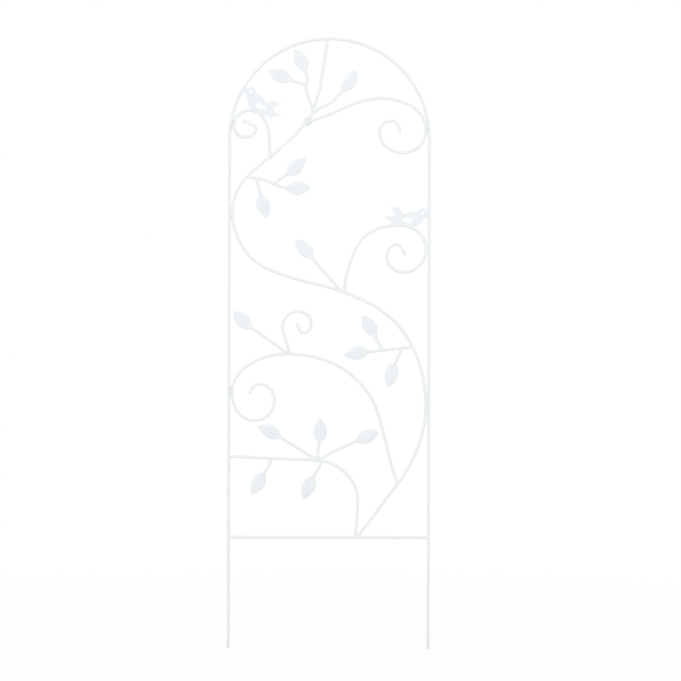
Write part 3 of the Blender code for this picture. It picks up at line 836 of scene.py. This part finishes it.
def makeLeaf(node, neck, heading, sweep):
    stations, columns = leaf["stations"], leaf["columns"]
    middle, ways = leafMidrib(heading, sweep, stations)
    front, back, film = [], [], []
    for station in range(stations):
        along = station / (stations - 1)
        half = leafHalfWidth(along)
        across = towards(ways[station] + 90)
        fromNeck = along * leaf["length"]
        fromTip = leaf["length"] - fromNeck
        flat = min(1.0, fromNeck / leaf["drawn"])
        flat = flat * flat * (3 - 2 * flat)
        rise = math.sin(math.pi * along)
        for column in range(columns):
            side = math.sin(math.pi / 2 * (2 * column / (columns - 1) - 1))
            fromRim = min((1 - abs(side)) * half, min(fromNeck, fromTip) + leaf["blunt"])
            rounding = 1 - min(fromRim / leaf["edge"], 1)
            thick = leaf["sheet"] / 2 * max(leaf["thinnest"], math.sqrt(1 - rounding ** 2))
            thick = max(thick, rodSizes["twig"] / 2 * math.sqrt(max(0.0, 1 - side ** 2)) * (1 - flat))
            press, seam = pressed(along, side, half)
            dome = leaf["dome"] * (1 - side ** 2) + leaf["puff"] * math.sin(math.pi * abs(side))
            y = press - dome * rise
            x, z = neck + middle[station] + half * side * across
            front.append((x, y - thick, z))
            back.append((x, y + thick, z))
            film.append(seam * flat)
    count = len(front)
    faces = []
    for station in range(stations - 1):
        for column in range(columns - 1):
            a = station * columns + column
            quad = [a, a + 1, a + 1 + columns, a + columns]
            faces.append(quad)
            faces.append([corner + count for corner in reversed(quad)])
    last = stations - 1
    rim = [station * columns for station in range(stations)]
    rim += [last * columns + column for column in range(1, columns)]
    rim += [station * columns + columns - 1 for station in range(last - 1, -1, -1)]
    rim += list(range(columns - 2, 0, -1))
    faces += betweenLoops(rim, [corner + count for corner in rim])
    film += [seam * leaf["backShade"] for seam in film]
    finishPiece(pieceName(node), front + back, faces, "leaf_paint", node, kind="sheet", film=film)


# Leafy twigs: from the foot and first heading through the bends to a leaf, which is given by the
# place of its tip, its heading at the neck and how far its midrib turns.
sprays = {
    "crown_left": {
        "weldedTo": ["main_stem"],
        "foot": (-0.168, 1.303, 112),
        "bends": [(-0.233, 1.503, 93), (-0.225, 1.581, 86)],
        "leaf": (-0.355, 1.899, 109, 14),
    },
    "crown_side": {
        "weldedTo": ["crown_left_twig"],
        "foot": (-0.226, 1.537, 163),
        "leaf": (-0.618, 1.680, 158, 0),
    },
    "crown_right": {
        "weldedTo": ["main_stem", "upper_right_scroll"],
        "foot": (-0.208, 1.190, 46),
        "bends": [(-0.100, 1.306, 38), (-0.020, 1.343, 24), (0.041, 1.387, 43)],
        "leaf": (0.266, 1.691, 49, 15),
    },
    "shoulder_middle": {
        "weldedTo": ["main_stem"],
        "foot": (-0.824, 0.9035, -8),
        "bends": [(-0.649, 0.8965, -14), (-0.564, 0.8865, -25)],
        "leaf": (-0.183, 0.878, -6, 13),
    },
    "shoulder_upper": {
        "weldedTo": ["shoulder_middle_twig"],
        "foot": (-0.557, 0.888, 42),
        "leaf": (-0.240, 0.952, 36, 10),
    },
    "shoulder_lower": {
        "weldedTo": ["shoulder_middle_twig"],
        "foot": (-0.731, 0.902, -75),
        "leaf": (-0.621, 0.800, -75, 2),
    },
    "waist": {
        "weldedTo": ["main_stem", "mid_right_scroll"],
        "foot": (0.132, 0.617, 135),
        "leaf": (-0.341, 0.747, 129, 8),
    },
    "arch": {
        "weldedTo": ["lower_arch_scroll", "small_scroll"],
        "foot": (-0.410, 0.460, 143),
        "leaf": (-0.954, 0.567, 146, -16),
    },
    "hip_middle": {
        "weldedTo": ["main_stem"],
        "foot": (0.837, 0.479, 184),
        "bends": [(0.549, 0.470, 186)],
        "leaf": (0.149, 0.456, 184, 10),
    },
    "hip_upper": {
        "weldedTo": ["hip_middle_twig"],
        "foot": (0.536, 0.470, 113),
        "leaf": (0.328, 0.557, 115, 14),
    },
    "hip_lower": {
        "weldedTo": ["hip_middle_twig"],
        "foot": (0.722, 0.476, -95),
        "leaf": (0.600, 0.376, -113, 16),
    },
    "base_upper": {
        "weldedTo": ["bottom_stem"],
        "foot": (-0.111, 0.193, 90),
        "leaf": (-0.087, 0.300, 80, 15),
    },
    "base_left": {
        "weldedTo": ["bottom_stem", "base_upper_twig"],
        "foot": (-0.104, 0.193, 149),
        "leaf": (-0.705, 0.279, 149, 7),
    },
    "base_right": {
        "weldedTo": ["bottom_stem", "base_upper_twig"],
        "foot": (-0.104, 0.193, 30),
        "bends": [(0.051, 0.216, 25)],
        "leaf": (0.505, 0.266, 24, -2),
    },
    "base_lower": {
        "weldedTo": ["bottom_stem"],
        "foot": (-0.081, 0.192, -85),
        "leaf": (-0.251, 0.095, -118, 8),
    },
    "base_outer": {
        "weldedTo": ["bottom_stem"],
        "foot": (-0.575, 0.198, -90),
        "leaf": (-0.767, 0.107, -121, 3),
    },
}
leafWeld = {"length": 0.006, "width": 0.0079, "depth": 0.0072, "ripples": 4}
neckInLeaf = 0.0002  # how far the twig runs on into its leaf


def growTwig(name, spray):
    *tip, leafHeading, sweep = spray["leaf"]
    neck = place(*tip) - leafMidrib(leafHeading, sweep, 2)[0][-1]
    *start, heading = spray["foot"]
    foot = rods[spray["weldedTo"][0]]["path"].foot(place(*start))
    bends = [bend(*each) for each in spray.get("bends", [])]
    twigEnd = neck + neckInLeaf * towards(leafHeading)
    twig = {
        "node": name + "_twig",
        "slot": "stem_paint",
        "welds": "stem_welds",
        "thickness": rodSizes["twig"],
        "weldedTo": spray["weldedTo"],
        "bends": [(*foot, heading)] + bends + [(*twigEnd, leafHeading)],
    }
    bendRod(twig)
    makeLeaf(name + "_leaf", neck, leafHeading, sweep)
    weldLump("leaf_welds", neck, leafHeading, **leafWeld)


for name, spray in sprays.items():
    growTwig(name, spray)
print("twigs and leaves welded on")


# Birds

birds = {
    "length": 0.0893,
    "sheet": 0.002,
    "eye": 0.0084,
    "edge": 0.00035,  # rounding of the cut edge
    "edgeSteps": 2,
    "head": (-0.028, 0.522),
    "headRadius": 0.1333,
    "crown": (135, -10),  # the round of the head, from the beak to the nape
    "points": {"crown": 29, "seat": 25, "eye": 32},
    "back": [
        [(0.113, 0.487), (0.138, 0.456), (0.193, 0.421), (0.253, 0.396), (0.308, 0.338), (0.337, 0.287),
         (0.353, 0.233)],
        [(0.353, 0.233), (0.432, 0.213), (0.503, 0.233), (0.564, 0.272), (0.621, 0.296), (0.672, 0.297)],
        [(0.672, 0.297), (0.655, 0.255), (0.630, 0.215)],
        [(0.630, 0.215), (0.701, 0.217), (0.792, 0.215)],
        [(0.792, 0.215), (0.792, 0.176)],
        [(0.792, 0.176), (0.723, 0.151), (0.654, 0.105), (0.594, 0.058), (0.572, 0.028)],
        [(0.572, 0.028), (0.610, -0.008), (0.674, -0.058), (0.729, -0.083), (0.789, -0.091)],
        [(0.789, -0.091), (0.789, -0.138)],
        [(0.789, -0.138), (0.701, -0.151), (0.632, -0.149), (0.566, -0.143)],
        [(0.566, -0.143), (0.566, -0.207)],
    ],
    "tailCorner": (0.566, -0.207),
    "undertail": [(0.570, 0.110), (0.489, 0.112), (0.413, 0.077), (0.352, 0.018)],
    "heel": 0.338,
    "toe": 0.038,
    "breast": [(-0.045, 0.085), (-0.090, 0.160), (-0.124, 0.243), (-0.144, 0.340), (-0.152, 0.405)],
    "opening": [(0.135, 0.242), (0.193, 0.220), (0.239, 0.182), (0.303, 0.151), (0.357, 0.121),
                (0.382, 0.088), (0.341, 0.052), (0.242, 0.050), (0.171, 0.069), (0.127, 0.083),
                (0.105, 0.143)],
    "tailLift": 0.0015,
    "leans": (0, 60),  # a bird whose tail rests leans back by something between these
    "leanTries": 20,
    "tacks": (0.12, 0.5, 0.88),  # welds along the seat, as shares of it
    "tackSink": 0.0002,
    "tackWeld": (0.0075, 0.0030, 0.0046, 3),  # length, width, depth and ripples
    "beakWeld": (0.0165, 0.0062, 0.0046, 3),
}
leftBird = {
    "node": "left_bird",
    "scroll": "upper_left_scroll",
    "near": (-0.790, 1.284),
    "beak": (-0.247, 0.594),
    "facing": -1,
    "sink": 0.0,
    "tailRests": False,
}
rightBird = {
    "node": "right_bird",
    "scroll": "mid_right_scroll",
    "near": (0.821, 0.778),
    "beak": (-0.204, 0.572),
    "facing": 1,
    "sink": 0.0015,
    "tailRests": True,
}


# a smooth curve through the places, up to the last one
def smoothCurve(places, steps=7):
    steps = steps if len(places) > 2 else 1
    ends = [places[0]] + places + [places[-1]]
    curve = []
    for p0, p1, p2, p3 in zip(ends, ends[1:], ends[2:], ends[3:]):
        for step in range(steps):
            t = step / steps
            weights = ((-t + 2 * t ** 2 - t ** 3) / 2, (2 - 5 * t ** 2 + 3 * t ** 3) / 2,
                       (t + 4 * t ** 2 - 3 * t ** 3) / 2, (t ** 3 - t ** 2) / 2)
            curve.append(tuple(sum(w * p[i] for w, p in zip(weights, (p0, p1, p2, p3))) for i in range(2)))
    return curve


# a bird's place on its scroll, where its beak meets the hoop
class Stance:
    def __init__(self, bird, lean):
        self.path = rods[bird["scroll"]]["path"]
        self.facing = bird["facing"]
        self.tilt = math.radians(-self.facing * lean)
        self.down = np.array([0.0, -bird["sink"]])
        centre = self.path.nearest([place(*bird["near"])])[1][0]
        slide = np.linspace(centre - birds["length"] / 2, centre + birds["length"] / 2,
                            fine["tries"])
        beaks = self.path.line(slide) + self.turned(bird["beak"])
        self.mark = slide[frameHoop["path"].nearest(beaks)[0].argmin()]

    def turned(self, share):
        x, z = -self.facing * share[0] * birds["length"], share[1] * birds["length"]
        cos, sin = math.cos(self.tilt), math.sin(self.tilt)
        return np.array([x * cos - z * sin, x * sin + z * cos]) + self.down

    def onPanel(self, share):
        return self.path.line(self.mark) + self.turned(share)

    def tailCorner(self):
        corner = self.onPanel(birds["tailCorner"])
        mark = self.path.nearest([corner])[1][0]
        return self.facing * np.dot(corner - self.path.line(mark), self.path.left(mark)), mark


def standBird(bird, standOff):
    if not bird["tailRests"]:
        return Stance(bird, 0)
    low, high = birds["leans"]
    for step in range(birds["leanTries"]):
        lean = (low + high) / 2
        stance = Stance(bird, lean)
        if stance.tailCorner()[0] < standOff + birds["tailLift"]:
            low = lean
        else:
            high = lean
    return stance


# where a line of the beak bites into the hoop on its way to the tip
def beakEnd(inner, tip):
    shares = np.linspace(1, 0, fine["tries"])
    places = inner + shares[:, None] * (tip - inner)
    room = frameHoop["path"].nearest(places)[0] - hoopRod / 2 + fine["bite"]
    return inner + clearLength(shares, room) * (tip - inner)


# a flat plate with rounded edges, cut to an outline with holes
def cutPlate(loops, sheet, edge):
    curve = bpy.data.curves.new("plate", "CURVE")
    curve.dimensions = "2D"
    curve.fill_mode = "BOTH"
    curve.extrude = sheet / 2 - edge
    curve.bevel_depth = edge
    curve.bevel_resolution = birds["edgeSteps"]
    curve.offset = -edge
    for loop in loops:
        spline = curve.splines.new("POLY")
        spline.points.add(len(loop) - 1)
        for point, (x, z) in zip(spline.points, loop):
            point.co = (x, z, 0, 1)
        spline.use_cyclic_u = True
    plate = bpy.data.objects.new("plate", curve)
    mesh = bpy.data.meshes.new_from_object(plate)
    bpy.data.objects.remove(plate)
    work = bmesh.new()
    work.from_mesh(mesh)
    bmesh.ops.remove_doubles(work, verts=work.verts, dist=fine["merge"])
    vertices = [(v.co.x, -v.co.z, v.co.y) for v in work.verts]
    work.verts.index_update()
    faces = [[v.index for v in face.verts] for face in work.faces]
    loose = sum(1 for edge in work.edges if len(edge.link_faces) != 2)
    work.free()
    print("plate cut:", len(faces), "faces,", loose, "open edges")
    return vertices, faces


def makeBird(bird):
    scroll = rods[bird["scroll"]]
    path, facing = scroll["path"], bird["facing"]
    standOff = scroll["thickness"] / 2 - fine["bite"]
    stance = standBird(bird, scroll["thickness"] / 2 + touching)
    length = birds["length"]
    points = birds["points"]
    angles = np.linspace(*birds["crown"], points["crown"])
    crown = [np.array(birds["head"]) + birds["headRadius"] * towards(angle) for angle in angles]
    back = sum((smoothCurve(stretch) for stretch in birds["back"]), []) + birds["back"][-1][-1:]
    breast = smoothCurve(birds["breast"]) + birds["breast"][-1:]
    crown, back, breast = [[stance.onPanel(share) for share in run] for run in (crown, back, breast)]
    if bird["tailRests"]:
        heel = stance.tailCorner()[1]
    else:
        heel = stance.mark - birds["heel"] * length
        for along, off in smoothCurve(birds["undertail"]) + birds["undertail"][-1:]:
            lift = facing * (scroll["thickness"] / 2 + touching + off * length)
            back.append(path.line(stance.mark - along * length, lift))
    toe = stance.mark + birds["toe"] * length
    stand = np.linspace(heel, toe, points["seat"])
    seat = list(path.line(stand, facing * standOff))
    tip = stance.onPanel(bird["beak"])
    beak = [beakEnd(inner, tip) for inner in (breast[-1], crown[0])]
    head = stance.onPanel(birds["head"])
    angles = np.linspace(0, 360, points["eye"], endpoint=False)
    eye = [head + birds["eye"] / 2 * towards(angle) for angle in angles]
    opening = smoothCurve(birds["opening"] + birds["opening"][:1])
    opening = [stance.onPanel(share) for share in opening]
    loops = [beak + crown + back + seat + breast, eye, opening]
    vertices, faces = cutPlate(loops, birds["sheet"], birds["edge"])
    finishPiece(pieceName(bird["node"]), vertices, faces, "bird_paint", bird["node"], kind="sheet",
                plate=True)

    # tack welds along the seat and at the beak
    for share in birds["tacks"]:
        mark = heel + (toe - heel) * share
        spot = path.line(mark, facing * (scroll["thickness"] / 2 - birds["tackSink"]))
        weldLump("bird_welds", spot, math.degrees(path.headingAt(mark)), *birds["tackWeld"])
    middle = (beak[0] + beak[1]) / 2
    mark = frameHoop["path"].nearest([middle])[1][0]
    weldLump("bird_welds", middle, math.degrees(frameHoop["path"].headingAt(mark)), *birds["beakWeld"])


makeBird(leftBird)
makeBird(rightBird)
print("birds cut and tacked on")

for kind in ("hoop", "stem", "leaf", "bird"):
    finishWelds(kind + "_welds", kind + "_paint")


# Floor, light and camera

studio = {
    "floor": (0.93, 0.93, 0.93),
    "floorRough": 0.9,
    "floorShine": 0.1,
    "floorReach": 14.0,
    "floorDrop": 0.0002,
    "floorGlow": (0.90, 1.0),  # how much of the floor's white is its own, by the legs and far off
    "glowReach": (0.4, 2.2),
    "worldLight": 0.75,
    "keyPower": 79.0,
    "keyPlace": (-3.0, -4.6, 4.1),
    "fillPower": 12.5,
    "fillPlace": (2.6, -2.4, 1.6),
    "lampSize": 1.6,
    "lampAim": 0.6,  # the height aimed at, as a share of the spring height
}


def seenDirectly(tree):
    rays = addNode(tree, "LightPath")
    seen = rays.outputs["Is Camera Ray"]
    for kind in ("Is Glossy Ray", "Is Transmission Ray"):
        seen = addNode(tree, "Math", {0: seen, 1: rays.outputs[kind]}, operation="MAXIMUM").outputs[0]
    return seen


def makeFloor():
    mesh = bpy.data.meshes.new("floor")
    far = studio["floorReach"]
    mesh.from_pydata([(-far, -far, 0), (far, -far, 0), (far, far, 0), (-far, far, 0)], [], [[0, 1, 2, 3]])
    floor = addObject("floor", mesh)
    floor.location.z = -studio["floorDrop"]
    chalk = bpy.data.materials.new("chalkFloor")
    chalk.use_nodes = True
    tree = chalk.node_tree
    shader = tree.nodes["Principled BSDF"]
    shader.inputs["Base Color"].default_value = (*studio["floor"], 1)
    shader.inputs["Roughness"].default_value = studio["floorRough"]
    shader.inputs["Specular IOR Level"].default_value = studio["floorShine"]
    glow = addNode(tree, "Emission", {"Color": (1, 1, 1, 1), "Strength": 1.0})
    away = addNode(tree, "VectorMath", {0: addNode(tree, "TexCoord").outputs["Object"]}, operation="LENGTH")
    share = ranged(tree, away.outputs["Value"], studio["glowReach"], studio["floorGlow"])
    seen = times(tree, seenDirectly(tree), share)
    mix = addNode(tree, "MixShader", {0: seen, 1: shader.outputs[0], 2: glow.outputs[0]})
    tree.links.new(mix.outputs[0], tree.nodes["Material Output"].inputs["Surface"])
    mesh.materials.append(chalk)


def makeWorld():
    world = bpy.data.worlds.new("studio")
    bpy.context.scene.world = world
    world.use_nodes = True
    tree = world.node_tree
    soft = tree.nodes["Background"]
    soft.inputs["Color"].default_value = (1, 1, 1, 1)
    soft.inputs["Strength"].default_value = studio["worldLight"]
    white = addNode(tree, "Background", {"Color": (1, 1, 1, 1), "Strength": 1.0})
    mix = addNode(tree, "MixShader", {0: seenDirectly(tree), 1: soft.outputs[0], 2: white.outputs[0]})
    tree.links.new(mix.outputs[0], tree.nodes["World Output"].inputs["Surface"])


def hangLamp(name, where, power):
    lamp = bpy.data.lights.new(name, "AREA")
    lamp.energy = power
    lamp.shape = "DISK"
    lamp.size = studio["lampSize"]
    holder = addObject(name, lamp)
    holder.location = where
    aim = Vector((0, 0, springHeight * studio["lampAim"])) - Vector(where)
    holder.rotation_euler = aim.to_track_quat("-Z", "Y").to_euler()


makeFloor()
makeWorld()
hangLamp("keyLamp", studio["keyPlace"], studio["keyPower"])
hangLamp("fillLamp", studio["fillPlace"], studio["fillPower"])

view = {
    "distance": 6.0,
    "frameWidth": 1.6719,  # what the picture takes in at the panel
    "centre": (0.0285, 0.7559),  # the middle of the picture on the panel
    "roll": -0.16,
    "sensor": 36,
    "farthest": 60,
}


def setCamera():
    camera = bpy.data.cameras.new("camera")
    camera.sensor_width = view["sensor"]
    camera.lens = view["sensor"] * view["distance"] / view["frameWidth"]
    camera.clip_end = view["farthest"]
    holder = addObject("camera", camera)
    x, z = view["centre"]
    holder.location = (x, -view["distance"], z)
    holder.rotation_euler = (math.pi / 2, math.radians(view["roll"]), 0)
    bpy.context.scene.camera = holder


setCamera()
bpy.context.scene.view_settings.view_transform = "Standard"
print("studio set")
